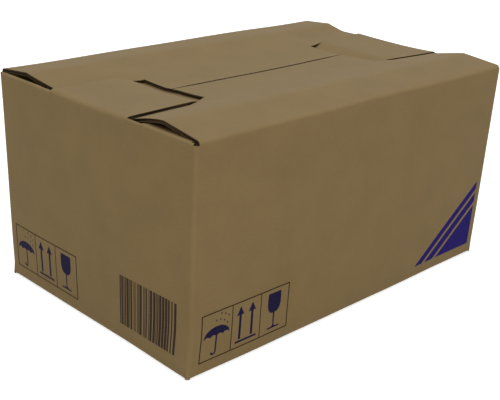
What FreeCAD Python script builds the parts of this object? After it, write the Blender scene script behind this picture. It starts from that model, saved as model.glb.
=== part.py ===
"""A closed shipping carton, folded from one sheet of corrugated board.

Millimetres, +Z up. The carton stands on the plane z = 0, with its origin under the middle of its
outer length and width. X runs along the long panels and Y along the end panels, and the front
long panel is on -Y. In the code, u is measured in from the outer face of an end panel and v in
from the outer face of a long panel.

The sheet is one piece: four panels closed to a tube by a glued lap, and eight flaps. At the top
the two long flaps meet in a seam. A tab of each end flap lies over their lowered ears, and its
tip is tucked under their raised middle through a window cut in both. The rest of each end flap is
two wings, folded down inside. The bottom has three outer flaps with mitred edges, under one wide
inner flap.
"""
import FreeCAD
import Part
import math
import os

from FreeCAD import Vector

# Outer size of the carton
length = 400.0
width = 255.0
end_panel_height = 196.0

# The board and its folds
board = 3.0
fold_inner_radius = 0.4
raw_edge_drop = 0.6
clearance = 0.5

# Long flaps at the top
flap_end_inset = 3.0
flap_end_taper = 3.0
ridge_inset = 41.0
ridge_rise = 4.5
seam_drop = 3.5
seam_gap = 1.5
ear_bow = 1.2
ear_margin = 2.0
sheet_steps = 6
trim_margin = 3.0

# Tab of each end flap
tab_rise = 1.0
tab_root_width = 99.0
tab_neck_taper = 3.5
tab_tip_taper = 11.5
tab_straight = 66.0
tab_level = 50.0
tab_lap = 18.0
tab_tip_drop = 0.6
tab_tip_radius = 8.0

# Window for each tab in the long flaps
slot_inset = 88.5
back_slot_shift = 4.0
ear_length = 56.0
window_gap = 0.8

# Wings of each end flap
wing_inset = 7.0
wing_width = 49.5
wing_length = 45.0
wing_dip = 48.0

# Flaps of the bottom
bottom_end_flap = 112.0
bottom_front_flap = 122.0
bottom_inner_flap = 196.0
mitre_gap = 1.0

# Glued lap of the tube
lap_width = 38.0
lap_end_inset = 8.0

# Worked out from the sizes above
half_length = length / 2
half_width = width / 2
fold_radius = board + fold_inner_radius
fold_leg = 2 * fold_radius
long_panel_height = end_panel_height + board
ridge_height = long_panel_height + ridge_rise
seam_height = long_panel_height - seam_drop
seam_inset = half_width - seam_gap / 2
tab_top = end_panel_height + tab_rise
tab_under_flap = seam_height - board - clearance
tab_edge = half_width - tab_root_width / 2
tab_neck_width = tab_root_width - 2 * tab_neck_taper
tab_tip_width = tab_root_width - 2 * tab_tip_taper
raw_edge_top = end_panel_height - raw_edge_drop
inner_floor = board + clearance
tall = 2 * long_panel_height


def box(x0, x1, y0, y1, z0, z1):
    """A block between two corners."""
    return Part.makeBox(x1 - x0, y1 - y0, z1 - z0, Vector(x0, y0, z0))


def prism(outline):
    """A tall upright block of the given plan outline."""
    points = [Vector(x, y, 0) for x, y in outline]
    face = Part.Face(Part.makePolygon(points + points[:1]))
    return face.extrude(Vector(0, 0, tall))


def other_end(shape):
    """The same shape at the right end of the carton."""
    return shape.mirror(Vector(0, 0, 0), Vector(1, 0, 0))


def other_side(shape):
    """The same shape at the back of the carton."""
    return shape.mirror(Vector(0, 0, 0), Vector(0, 1, 0))


def smooth_step(value, start, end):
    """A soft ramp from 0 at start to 1 at end."""
    share = min(max((value - start) / (end - start), 0.0), 1.0)
    return share * share * (3 - 2 * share)


def fold_face(place, crest, run, leg=fold_leg, drop=board):
    """Section of a fold: an upright leg, the bend, and the flap that runs in from it.

    place turns an (inset, height) pair into a point, crest is the height of the bend's outer
    surface, and run lists (inset, height) points of the flap's outer surface after the bend.
    leg is the height from the foot of the leg to the crest, and drop is the upright thickness of
    the flap at the points of run.
    """
    centre = crest - fold_radius
    first_u = run[0][0] - fold_radius
    first_z = run[0][1] - centre
    reach = math.hypot(first_u, first_z)
    turn = math.pi - math.atan2(first_z, first_u) - math.acos(fold_radius / reach)

    def bend(radius, angle):
        return place(fold_radius - radius * math.cos(angle), centre + radius * math.sin(angle))

    outer = [bend(fold_radius, turn)] + [place(u, z) for u, z in run]
    under = [place(u, z - drop) for u, z in run[::-1]] + [bend(fold_inner_radius, turn)]
    foot = crest - leg
    edges = [Part.makeLine(place(0, foot), bend(fold_radius, 0))]
    edges.append(Part.Arc(bend(fold_radius, 0), bend(fold_radius, turn / 2), outer[0]).toShape())
    line = outer + under
    edges += [Part.makeLine(start, end) for start, end in zip(line, line[1:])]
    inner_mid = bend(fold_inner_radius, turn / 2)
    edges.append(Part.Arc(under[-1], inner_mid, bend(fold_inner_radius, 0)).toShape())
    edges.append(Part.makeLine(bend(fold_inner_radius, 0), place(board, foot)))
    edges.append(Part.makeLine(place(board, foot), place(0, foot)))
    return Part.Face(Part.Wire(edges))


def long_fold(crest, run, up=1):
    """A fold along the front panel, at the top of the carton or, with up = -1, at its bottom."""
    reach = half_length - flap_end_inset

    def place(inset, height):
        return Vector(-reach, inset - half_width, up * height)

    return fold_face(place, crest, run).extrude(Vector(2 * reach, 0, 0))


def end_fold(crest, run, y0, y1, up=1, leg=fold_leg, drop=board):
    """A fold along the left end panel from y0 to y1, at its top or, with up = -1, its bottom."""

    def place(inset, height):
        return Vector(inset - half_length, y0, up * height)

    return fold_face(place, crest, run, leg, drop).extrude(Vector(0, y1 - y0, 0))


def corner(x, y, start):
    """The upright fold between two panels, a quarter ring about (x, y)."""
    foot = Vector(x, y, raw_edge_drop)
    height = raw_edge_top - raw_edge_drop
    ring = Part.makeCylinder(fold_radius, height, foot, Vector(0, 0, 1), 90)
    ring = ring.cut(Part.makeCylinder(fold_inner_radius, height, foot, Vector(0, 0, 1), 90))
    ring.rotate(foot, Vector(0, 0, 1), start)
    return ring


def tube():
    """The four panels with their upright folds, and the lap glued inside the back panel."""
    x_in = half_length - fold_radius
    y_in = half_width - fold_radius
    y_lap = half_width - board
    side_top = long_panel_height - fold_leg
    end_top = end_panel_height - fold_leg
    front = box(-x_in, x_in, -half_width, board - half_width, fold_leg, side_top)
    back = box(-x_in, half_length - raw_edge_drop, y_lap, half_width, inner_floor + fold_leg,
               side_top)
    left = box(-half_length, board - half_length, -y_in, y_in, fold_leg, end_top)
    right = box(half_length - board, half_length, -y_in, y_in - board, fold_leg, end_top)
    lap = box(x_in - lap_width, x_in, y_lap - board, y_lap, lap_end_inset,
              end_panel_height - lap_end_inset)
    corners = [corner(-x_in, -y_in, 180), corner(x_in, -y_in, 270), corner(-x_in, y_in, 90),
               corner(x_in, y_in - board, 0)]
    return [front, back, left, right, lap] + corners


def tab_height(u):
    """Height of the tab's top face: level over the ears, then down through the window."""
    dive_end = slot_inset - back_slot_shift
    if u <= tab_level:
        return tab_top
    if u >= dive_end:
        return tab_under_flap - tab_tip_drop * (u - dive_end) / tab_lap
    return tab_top + (tab_under_flap - tab_top) * (u - tab_level) / (dive_end - tab_level)


def flap_height(u, v):
    """Height of a long flap's top face past its ridge.

    The middle sinks to the seam in a soft bow. The ears are pressed down under the tabs, and the
    flap rises again from them beside the windows.
    """
    past_ridge = max(v - ridge_inset, 0.0)
    to_seam = past_ridge / (seam_inset - ridge_inset)
    middle = seam_height + (ridge_height - seam_height) * (1 - to_seam) ** 2
    to_ear = min(past_ridge / (tab_edge - ear_margin - ridge_inset), 1.0)
    ear_height = tab_height(u) - board - clearance
    ear = ridge_height + (ear_height - ridge_height) * to_ear ** ear_bow
    return ear + (middle - ear) * smooth_step(u, ear_length, slot_inset)


def flap_sheet():
    """The front flap past its ridge, as one bowed sheet with a margin all round for trimming."""
    bounds = [flap_end_inset - trim_margin, ear_length, slot_inset, half_length]
    spans = zip(bounds, bounds[1:])
    insets_u = [a + (b - a) * i / sheet_steps for a, b in spans for i in range(sheet_steps)]
    stations = [(u, u - half_length) for u in insets_u + [half_length]]
    stations += [(u, half_length - u) for u in insets_u[::-1]]
    start = ridge_inset - trim_margin
    bow = seam_inset + trim_margin - start
    insets_v = [start + bow * i / (2 * sheet_steps) for i in range(2 * sheet_steps + 1)]
    grid = [[Vector(x, v - half_width, flap_height(u, v)) for v in insets_v] for u, x in stations]
    surface = Part.BSplineSurface()
    surface.interpolate(grid)
    return Part.Face(surface).extrude(Vector(0, 0, -board))


def long_flap():
    """The front long flap: its fold, the strip that rises to the ridge, and the bowed sheet."""
    taper = flap_end_taper / tab_edge
    root = half_length - flap_end_inset
    ridge = root - taper * ridge_inset
    end = root - flap_end_taper
    ridge_y = ridge_inset - half_width
    ear_y = tab_edge - half_width
    seam_y = seam_inset - half_width
    strip_plan = [(-root, -half_width), (-ridge, ridge_y), (ridge, ridge_y), (root, -half_width)]
    sheet_plan = [(-ridge, ridge_y), (-end, ear_y), (-end, seam_y), (end, seam_y), (end, ear_y),
                  (ridge, ridge_y)]
    strip = long_fold(long_panel_height, [(ridge_inset, ridge_height)]).common(prism(strip_plan))
    return strip.fuse(flap_sheet().common(prism(sheet_plan)))


def tab_outline(reach, grow=0.0):
    """Plan outline of the left tab, ending at reach, with its sides moved out by grow."""
    sides = [(0, tab_root_width), (tab_straight, tab_neck_width), (slot_inset, tab_tip_width)]
    near = [(u - half_length, -(w / 2 + grow)) for u, w in sides]
    near.append((reach - half_length, near[-1][1]))
    return near + [(x, -y) for x, y in near[::-1]]


def window(reach):
    """Block that cuts the left window in a long flap, up to the slot at reach."""
    hole = prism(tab_outline(max(reach, slot_inset), window_gap))
    start = ear_length - half_length
    return hole.common(box(start, reach - half_length, -half_width, half_width, 0, tall))


def tab():
    """The left tab, from its fold to its rounded tip under the long flaps."""
    reach = slot_inset + tab_lap
    bends = [tab_level, slot_inset - back_slot_shift, reach]
    run = [(u, tab_height(u)) for u in bends]
    strip = end_fold(tab_top, run, -half_width, half_width, leg=fold_leg + tab_rise)
    plan = prism(tab_outline(reach))
    tip_x = reach - half_length
    tip_edges = [edge for edge in plan.Edges if edge.BoundBox.XMin > tip_x - clearance
                 and edge.BoundBox.ZLength > board]
    return strip.common(plan.makeFillet(tab_tip_radius, tip_edges))


def wing():
    """The front wing of the left end flap, folded down inside the carton."""
    dip = math.radians(wing_dip)
    bend_end_u = fold_radius * (1 + math.sin(dip))
    bend_end_z = end_panel_height - fold_radius * (1 - math.cos(dip))
    tip = (bend_end_u + wing_length * math.cos(dip), bend_end_z - wing_length * math.sin(dip))
    start = wing_inset - half_width
    return end_fold(end_panel_height, [tip], start, start + wing_width, drop=board / math.cos(dip))


def raw_edges():
    """The cut top edge of the left end panel, at the corners and between the wings and tab."""
    foot = end_panel_height - fold_leg
    edges = []
    for v0, v1 in ((fold_radius, wing_inset), (wing_inset + wing_width, tab_edge)):
        y0 = v0 - half_width
        y1 = v1 - half_width
        edges.append(box(-half_length, board - half_length, y0, y1, foot, raw_edge_top))
        edges.append(other_side(edges[-1]))
    return edges


def bottom_front():
    """The outer front flap of the bottom, mitred to the end flaps."""
    near = mitre_gap - half_length
    far = near + bottom_front_flap
    inner = bottom_front_flap - half_width
    outline = [(near, -half_width), (far, inner), (-far, inner), (-near, -half_width)]
    return long_fold(0, [(bottom_front_flap, 0)], up=-1).common(prism(outline))


def bottom_end():
    """The outer left flap of the bottom, mitred to the front flap."""
    inner = bottom_end_flap - half_length
    near = mitre_gap - half_width
    side = half_width - flap_end_inset
    outline = [(-half_length, near), (inner, near + bottom_end_flap), (inner, side),
               (-half_length, side)]
    fold = end_fold(0, [(bottom_end_flap, 0)], -side, side, up=-1)
    return fold.common(prism(outline))


def bottom_inner():
    """The wide flap of the back panel, which lies inside on the three outer flaps."""
    flap = long_fold(-inner_floor, [(bottom_inner_flap, -inner_floor)], up=-1)
    reach = half_length - board - clearance
    keep = box(-reach, reach, -half_width, board + fold_inner_radius - half_width, 0, tall)
    flap_only = box(-reach, reach, -half_width, half_width, 0, inner_floor + board)
    return other_side(flap.common(keep.fuse(flap_only)))


def carton():
    """The whole folded sheet."""
    front_flap = long_flap()
    back_flap = other_side(front_flap)
    near_slot = slot_inset - back_slot_shift
    far_slot = slot_inset + back_slot_shift
    front_flap = front_flap.cut(window(slot_inset)).cut(other_end(window(slot_inset)))
    back_flap = back_flap.cut(window(near_slot)).cut(other_end(window(far_slot)))
    left_end = [tab(), wing(), other_side(wing()), bottom_end()] + raw_edges()
    pieces = [front_flap, back_flap] + left_end + [other_end(piece) for piece in left_end]
    pieces += [bottom_front(), bottom_inner()]
    walls = tube()
    return walls[0].multiFuse(walls[1:] + pieces).removeSplitter()


if __name__ == "__main__":
    os.makedirs("parts", exist_ok=True)
    sheet = carton()
    sheet = sheet.Solids[0] if len(sheet.Solids) == 1 else sheet
    sheet.exportStep("parts/carton.step")
    size = sheet.BoundBox
    print("solids", len(sheet.Solids), "valid", sheet.isValid(), "volume", round(sheet.Volume))
    print("size", round(size.XLength, 2), round(size.YLength, 2), round(size.ZLength, 2))
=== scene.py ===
# %% [markdown]
# # A closed corrugated carton
#
# The imported CAD model is loaded first, and it stays the measure of everything below. The carton
# there is one solid. What it lacks is what paper board shows up close: soft folds, cut edges with
# flutes in them, paper fibre, creases rubbed pale and painted with a highlight, and print.
# Blender works in metres. The sizes below are written in millimetres, as a carton maker would
# write them, and `MM` turns one into the other.

import math
import random

import bmesh
import bpy
from mathutils import Matrix, Vector, noise


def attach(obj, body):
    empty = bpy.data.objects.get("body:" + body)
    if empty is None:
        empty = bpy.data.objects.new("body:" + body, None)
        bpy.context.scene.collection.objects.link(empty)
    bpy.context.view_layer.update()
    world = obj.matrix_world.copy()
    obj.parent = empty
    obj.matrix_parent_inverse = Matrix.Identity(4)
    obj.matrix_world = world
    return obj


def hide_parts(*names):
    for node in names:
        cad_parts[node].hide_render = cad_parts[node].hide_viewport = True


MM = 0.001
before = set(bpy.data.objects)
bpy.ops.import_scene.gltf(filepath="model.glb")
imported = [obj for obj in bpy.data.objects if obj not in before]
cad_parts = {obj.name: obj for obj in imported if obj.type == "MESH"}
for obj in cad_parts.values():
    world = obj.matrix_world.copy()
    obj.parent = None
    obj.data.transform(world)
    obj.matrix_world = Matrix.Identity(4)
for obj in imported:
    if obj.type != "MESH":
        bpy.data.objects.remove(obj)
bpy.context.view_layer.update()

# %% [markdown]
# ## The sizes of the folded carton
#
# A carton is cut and creased flat, as one blank, and folded afterwards. It could be modelled as
# six plates, but plates have no folds. Here the blank itself is modelled and then folded, so every
# corner and crease comes out as board makes it. These are the sizes of the folded carton, as in
# the CAD source. In the code, `u` is the distance in from an end panel and `v` the distance in
# from a long panel.

# %% Sizes of the walls and the long flaps
HALF_LENGTH = 200.0
HALF_WIDTH = 127.5
END_HEIGHT = 196.0
BOARD = 3.0
# The outer radius of a fold, and the room between one layer of board and the next.
FOLD = 3.4
CLEARANCE = 0.5
LONG_HEIGHT = END_HEIGHT + BOARD
# How far the raw edge of the back panel and the cut ends of the corners stand back.
RAW_EDGE = 0.6
# The second crease of each long flap: how far in it lies, and how high it stands.
RIDGES = {"front": (41.0, LONG_HEIGHT + 4.6), "back": (36.0, LONG_HEIGHT + 3.0)}
# The seam opens from its tight ends to its middle. The first two numbers are half of the gap.
SEAM_WIDE, SEAM_TIGHT, SEAM_OPENING = 1.3, 0.5, 30.0
SEAM_V = HALF_WIDTH - SEAM_WIDE
SEAM_Z = LONG_HEIGHT - 3.5
# How much a long flap is cut back at its ends, so that it clears the end panels.
FLAP_TAPER = 3.2
# The height of the inner layer of the bottom.
INNER_FLOOR = BOARD + CLEARANCE
print("length", 2 * HALF_LENGTH, "width", 2 * HALF_WIDTH, "ridges", RIDGES)

# %% [markdown]
# The top is closed without tape. At each end a tab lies over the ends of the long flaps, its ears,
# and dives under their middle through a window. Beside each tab two wings are folded down inside.
# No two ends of a real carton close quite alike, so the depth of each tuck and the height of each
# ear have their own numbers.

# %% Sizes of the tabs, windows, wings and bottom flaps
# A tab's height along its middle, and how much higher its sides stand.
TAB_TOP, TAB_LIFT = END_HEIGHT + 0.9, 1.1
# Half of its width at its fold and at its neck, and the place of its sides across the end panel.
TAB_ROOT, TAB_NECK = 49.5, 46.0
TAB_EDGE = HALF_WIDTH - TAB_ROOT
# How far in it stays level, stays nearly straight-sided, and ends, and how round its tip is.
TAB_LEVEL, TAB_STRAIGHT, TAB_REACH = 66.0, 66.0, 106.5
TIP_RADIUS, TIP_EASE = 8.0, 1.6
# The room between a tab and the board that it lies on or under.
TUCK_GAP = 0.35
# The usual depth of a slot, and how near the middle one side's depth turns into the other's.
SLOT = 88.5
TUCK_TURN = (1.0, 12.0)
# For each end and side: where the tab dives, its half width there, and the gap beside it.
TUCKS = {("left", "front"): (SLOT, 38.5, 1.4), ("left", "back"): (84.5, 33.0, 0.6),
         ("right", "front"): (SLOT, 38.5, 2.6), ("right", "back"): (91.0, 40.0, 0.8)}
EAR_END = 56.0
# For each ear: its height beside the tab, how much it bows, and how far in it stops falling.
EARS = {("left", "front"): (195.7, 1.4, 1.0), ("left", "back"): (195.8, 0.9, 1.0),
        ("right", "front"): (196.9, 1.1, 1.0), ("right", "back"): (197.2, 1.0, 0.52)}
# The gap beside a tab at its fold, and where a long flap starts to rise from ear to middle.
WINDOW_GAP = 0.8
FLAP_RISE = 77.0
# At the seam the two slots of an end meet: how wide and how long the slanted cut there is.
SEAM_CHAMFER, SEAM_CHAMFER_RUN = 5.0, 14.0
# A wing lies between these places across the end panel, and its other sizes follow.
WING_SIDES = (7.0, 61.0)
WING_LENGTH = 45.0
WING_TURN = {"front": math.radians(90.0 + 10.0), "back": math.radians(90.0 + 30.0)}
WING_CREST = {"front": END_HEIGHT + 1.0, "back": END_HEIGHT + 0.2}
WING_FOLD = 2.0
LAP_WIDTH = 38.0
BOTTOM_DEPTH = {"front": 122.0, "back": 196.0, "left": 112.0, "right": 112.0}
MITRE_GAP = 1.0
print("a tab is", 2 * TAB_ROOT, "mm wide at its fold and reaches", TAB_REACH, "mm in")

# %% [markdown]
# ## Lay the blank out as a grid
#
# The blank is one flat grid. Its columns run round the carton: from the raw edge of the back
# panel, round the left end and the front, to the right end and the lap that is glued inside. Its
# rows run from the tips of the bottom flaps, up the walls, to the tips of the top flaps. The
# columns and rows lie where the real blank has a crease, a cut or a window, so every shape can be
# cut out by deleting whole cells. A cell is about 6 mm wide, and less where the board bends.

# %% Columns round the carton
EAR_CELLS, NECK_CELLS, SLOT_CELLS, MIDDLE_CELLS = 10, 2, 8, 40
WING_CELLS, LIP_CELLS, TAB_CELLS = 9, 4, 18
CORNER_CELLS, LAP_CELLS = 5, 6


def steps(start, end, count):
    """Evenly spaced places from start towards end, without the end itself."""
    return [start + (end - start) * i / count for i in range(count)]


def long_columns(first_slot, last_slot):
    """Places along a long panel, with lines at the ears, windows and slots of both ends."""
    span = 2 * HALF_LENGTH
    near = steps(FOLD, EAR_END, EAR_CELLS) + steps(EAR_END, TAB_STRAIGHT, NECK_CELLS)
    near += steps(TAB_STRAIGHT, first_slot, SLOT_CELLS)
    middle = steps(first_slot, span - last_slot, MIDDLE_CELLS)
    far = steps(span - last_slot, span - TAB_STRAIGHT, SLOT_CELLS)
    far += steps(span - TAB_STRAIGHT, span - EAR_END, NECK_CELLS)
    far += steps(span - EAR_END, span - FOLD, EAR_CELLS)
    return near + middle + far + [span - FOLD]


def end_columns(last_inset):
    """Places across an end panel, with lines at the sides of the wings and the tab."""
    span = 2 * HALF_WIDTH
    near = steps(*WING_SIDES, WING_CELLS) + steps(WING_SIDES[1], TAB_EDGE, LIP_CELLS)
    tab = steps(TAB_EDGE, span - TAB_EDGE, TAB_CELLS) + [span - TAB_EDGE]
    far = [span - place for place in near[::-1]] + [span - last_inset]
    return [FOLD] + near + tab + far


CORNER = steps(0, 1, CORNER_CELLS) + [1]
ENDS_OF = {"front": ("left", "right"), "back": ("right", "left")}
SLOTS_OF = {strip: [TUCKS[end, strip][0] for end in ends] for strip, ends in ENDS_OF.items()}
STRIPS = [("back_edge", [RAW_EDGE, FOLD]), ("back", long_columns(*SLOTS_OF["back"])),
          ("corner_back_left", CORNER), ("left", end_columns(FOLD)), ("corner_front_left", CORNER),
          ("front", long_columns(*SLOTS_OF["front"])), ("corner_front_right", CORNER),
          ("right", end_columns(FOLD + BOARD)), ("corner_lap", CORNER),
          ("lap", steps(FOLD, FOLD + LAP_WIDTH, LAP_CELLS) + [FOLD + LAP_WIDTH])]
across = [(strip, i) for strip, places in STRIPS for i in range(len(places) - 1)]
places_of = dict(STRIPS)
print(len(across), "cells round the blank")

# %% Rows from the tips of the bottom flaps to the tips of the top flaps
WALL_CELLS, BOTTOM_CELLS, BEND_STEPS = 34, 9, 6
# A cut edge between the flaps ends this many steps up the bend.
LIP_BENDS = 4
# Cells of a top flap: to its ridge, on to the window, and under the tab.
FLAP_RUNS = (6, 7, 8)
# How far each line under the tab lies on the way to the seam.
UNDER_TAB = (0.0, 0.014, 0.1, 0.22, 0.36, 0.52, 0.68, 0.84, 1.0)
WALL_START, WALL_END = 12.0, 191.0
wall_heights = steps(WALL_START, WALL_END, WALL_CELLS) + [WALL_END]
LEVELS = (("bottom_flap", BOTTOM_CELLS), ("bottom_bend", BEND_STEPS), ("bottom_leg", 1),
          ("wall", WALL_CELLS), ("top_leg", 1), ("top_bend", BEND_STEPS),
          ("top_flap", sum(FLAP_RUNS)))
up = [(level, i) for level, count in LEVELS for i in range(count)]
print(len(up), "cells up the blank")

# %% [markdown]
# ## Cut the blank
#
# A carton die cuts slots between the flaps and windows in them. Here each cell of the grid gets
# the name of the part it belongs to, and the cells that the die would take away are deleted.
# Beside the tabs and wings the die only slits the board, so those edges are split: the two sides
# stay touching on the flat blank, and part when it is folded.


# %% Which cells are board, and of which part
def end_part(place):
    """What an end panel's top edge is at a place across it: a tab, a wing or a cut edge."""
    inset = min(place, 2 * HALF_WIDTH - place)
    if inset > TAB_EDGE:
        return "tab"
    return "wing" if WING_SIDES[0] < inset < WING_SIDES[1] else "lip"


def in_window(strip, place, step):
    """Whether a cell of a long flap lies in one of its two windows."""
    places = places_of[strip]
    first, last = SLOTS_OF[strip]
    far = places[0] + places[-1] - place
    beside = EAR_END < place < first or EAR_END < far < last
    return beside and step >= FLAP_RUNS[0] + FLAP_RUNS[1]


def part_of(column, row):
    """The part a cell belongs to, or None where the die cuts it away."""
    strip, i = across[column]
    level, step = up[row]
    place = (places_of[strip][i] + places_of[strip][i + 1]) / 2
    if strip in ("front", "back"):
        window = level == "top_flap" and in_window(strip, place, step)
        return None if window else "long_flap"
    if strip in ("left", "right"):
        part = end_part(place)
        cut = level == "top_flap" or level == "top_bend" and step >= LIP_BENDS
        return None if part == "lip" and cut else part
    if strip == "lap":
        return "lap" if level == "wall" and step < WALL_CELLS - 1 else None
    return "cut_edge" if level in ("bottom_leg", "wall", "top_leg") else None


PARTS = ["cut_edge", "long_flap", "tab", "wing", "lip", "lap"]
print("parts of the blank:", ", ".join(PARTS))

# %% Make the grid and cut it
blank = bmesh.new()
bmesh.ops.create_grid(blank, x_segments=len(across), y_segments=len(up), size=1)
column_of = blank.verts.layers.int.new("column")
row_of = blank.verts.layers.int.new("row")
part_layer = blank.faces.layers.int.new("part")
strip_layer = blank.faces.layers.int.new("strip")
for vert in blank.verts:
    vert[column_of] = round((vert.co.x + 1) / 2 * len(across))
    vert[row_of] = round((vert.co.y + 1) / 2 * len(up))
strip_names = list(places_of)
cut_away = []
for face in blank.faces:
    column = min(vert[column_of] for vert in face.verts)
    row = min(vert[row_of] for vert in face.verts)
    part = part_of(column, row)
    if part is None:
        cut_away.append(face)
    else:
        face[part_layer] = PARTS.index(part)
        face[strip_layer] = strip_names.index(across[column][0])
bmesh.ops.delete(blank, geom=cut_away, context="FACES")
print(len(blank.faces), "cells of board,", len(cut_away), "cut away")


# %% Slit the board beside the tabs, wings and bottom flaps
def is_slit(edge):
    """Whether the die slits this edge: it runs up, between two parts that fold apart."""
    if len(edge.link_faces) != 2 or edge.verts[0][column_of] != edge.verts[1][column_of]:
        return False
    level = up[min(vert[row_of] for vert in edge.verts)][0]
    parts = {PARTS[face[part_layer]] for face in edge.link_faces}
    strips = {face[strip_layer] for face in edge.link_faces}
    if level in ("top_leg", "top_bend"):
        return parts in ({"tab", "lip"}, {"lip", "cut_edge"})
    at_raw_edge = strip_names.index("back_edge") in strips
    return level == "bottom_leg" and len(strips) == 2 and not at_raw_edge


slits = [edge for edge in blank.edges if is_slit(edge)]
bmesh.ops.split_edges(blank, edges=slits)
print(len(slits), "slits")

# %% [markdown]
# ## Fold the blank
#
# Folding moves each point of the grid to its place on the carton's outer face. It could be posed
# with bones or shape keys, but a few rules of geometry do it exactly. The walls come first: four
# panels and the lap, joined by round corners. A fold in board is not sharp. Its outer face turns
# on a radius of about the board's thickness, and `bend` gives that arc.

# %% The walls of the tube
# For each corner: its side in x and y, the angle that it starts from, and how far it steps in.
CORNERS = {"corner_back_left": (-1, 1, 90.0, 0.0), "corner_front_left": (-1, -1, 180.0, 0.0),
           "corner_front_right": (1, -1, 270.0, 0.0), "corner_lap": (1, 1, 0.0, BOARD)}
INWARD = {"front": (0, 1), "back": (0, -1), "left": (1, 0), "right": (-1, 0)}


def on_wall(strip, place, z):
    """A point of the tube's outer face."""
    if strip in CORNERS:
        side_x, side_y, start, drop = CORNERS[strip]
        angle = math.radians(start + 90.0 * place)
        x = side_x * (HALF_LENGTH - FOLD) + FOLD * math.cos(angle)
        y = side_y * (HALF_WIDTH - FOLD) - drop + FOLD * math.sin(angle)
        return Vector((x, y, z))
    if strip == "lap":
        return Vector((HALF_LENGTH - place, HALF_WIDTH - BOARD, z))
    if strip == "front":
        return Vector((place - HALF_LENGTH, -HALF_WIDTH, z))
    if strip in ("back", "back_edge"):
        return Vector((HALF_LENGTH - place, HALF_WIDTH, z))
    if strip == "left":
        return Vector((-HALF_LENGTH, HALF_WIDTH - place, z))
    return Vector((HALF_LENGTH, place - HALF_WIDTH, z))


def on_flap(strip, place, inset, z):
    """A point over the inside of the carton, inset from the wall that the flap hangs on."""
    inward_x, inward_y = INWARD[strip]
    return on_wall(strip, place, z) + inset * Vector((inward_x, inward_y, 0))


def bend(angle, crest, up_side=1, radius=FOLD):
    """Inset and height of a fold's outer face after turning through angle."""
    return radius * (1 - math.cos(angle)), crest - up_side * radius * (1 - math.sin(angle))


print("front left corner:", [round(c, 1) for c in on_wall("corner_front_left", 0.5, 0)])

# %% [markdown]
# ### The long flaps
#
# The two long flaps close the top and meet in a seam along its middle. Each turns over the top of
# its wall, rises a little to a second crease, its ridge, and sinks from there to the seam. Its
# ends, the ears, are pressed down by the tabs. A plane turned about the fold would miss the ridge
# and the ears. Here every point gets a height of its own: one rule for the middle of the flap, one
# for its ears, and a soft ramp from one to the other.


# %% Heights of the top
def ramp(value, start, end):
    """A soft ramp from 0 at start to 1 at end."""
    share = min(max((value - start) / (end - start), 0.0), 1.0)
    return share * share * (3 - 2 * share)


def middle_height(strip, v):
    """Height of a long flap's top face past its ridge, midway between the ends."""
    ridge_v, ridge_z = RIDGES[strip]
    to_seam = min(max(v - ridge_v, 0.0) / (SEAM_V - ridge_v), 1.0)
    return SEAM_Z + (ridge_z - SEAM_Z) * (1 - to_seam) ** 2


def slot_of(end, y):
    """How far in from an end a tab has to be under the long flap, at a place across it."""
    front, back = TUCKS[end, "front"][0], TUCKS[end, "back"][0]
    near, far = TUCK_TURN
    turned = ramp(y, -far, -near) if back < front else ramp(y, near, far)
    return front + (back - front) * turned


def tab_height(end, u, y):
    """Height of a tab's top face: level over the ears, then down through the window."""
    over = TAB_TOP + TAB_LIFT * min(abs(y) / TAB_ROOT, 1.0) ** 2
    strip = "front" if y < 0 else "back"
    under = middle_height(strip, HALF_WIDTH - abs(y)) - BOARD - TUCK_GAP
    return over + (under - over) * ramp(u, TAB_LEVEL, slot_of(end, y))


def flap_height(strip, end, u, v, side):
    """Height of a long flap's top face past its ridge."""
    ridge_v, ridge_z = RIDGES[strip]
    ear_side, bow, knee = EARS[end, strip]
    to_side = min(max(v - ridge_v, 0.0) / (side - ridge_v) / knee, 1.0)
    ear = ridge_z + (ear_side - ridge_z) * to_side ** bow
    if v > side:
        y = HALF_WIDTH - v
        ear = TAB_TOP + TAB_LIFT * min(y / TAB_ROOT, 1.0) ** 2 - BOARD - TUCK_GAP
    slot = TUCKS[end, strip][0]
    return ear + (middle_height(strip, v) - ear) * ramp(u, FLAP_RISE, slot)


print("a tab dives", round(TAB_TOP - tab_height("left", SLOT, 0.0), 1), "mm under the long flaps")


# %% Points of a long flap
def tab_half(u, end, strip):
    """A tab's reach to its front or back side, at a distance in from its fold."""
    if u <= TAB_STRAIGHT:
        half = TAB_ROOT + (TAB_NECK - TAB_ROOT) * u / TAB_STRAIGHT
    else:
        slot, tip, _ = TUCKS[end, strip]
        share = min((u - TAB_STRAIGHT) / (slot - TAB_STRAIGHT), 1)
        if strip == "back":
            share = 1 - (1 - share) ** 2
        half = TAB_NECK + (tip - TAB_NECK) * share
    round_off = max(u - (TAB_REACH - TIP_RADIUS), 0.0)
    return half - TIP_RADIUS + math.sqrt(max(TIP_RADIUS ** 2 - round_off ** 2, 0.0))


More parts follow.
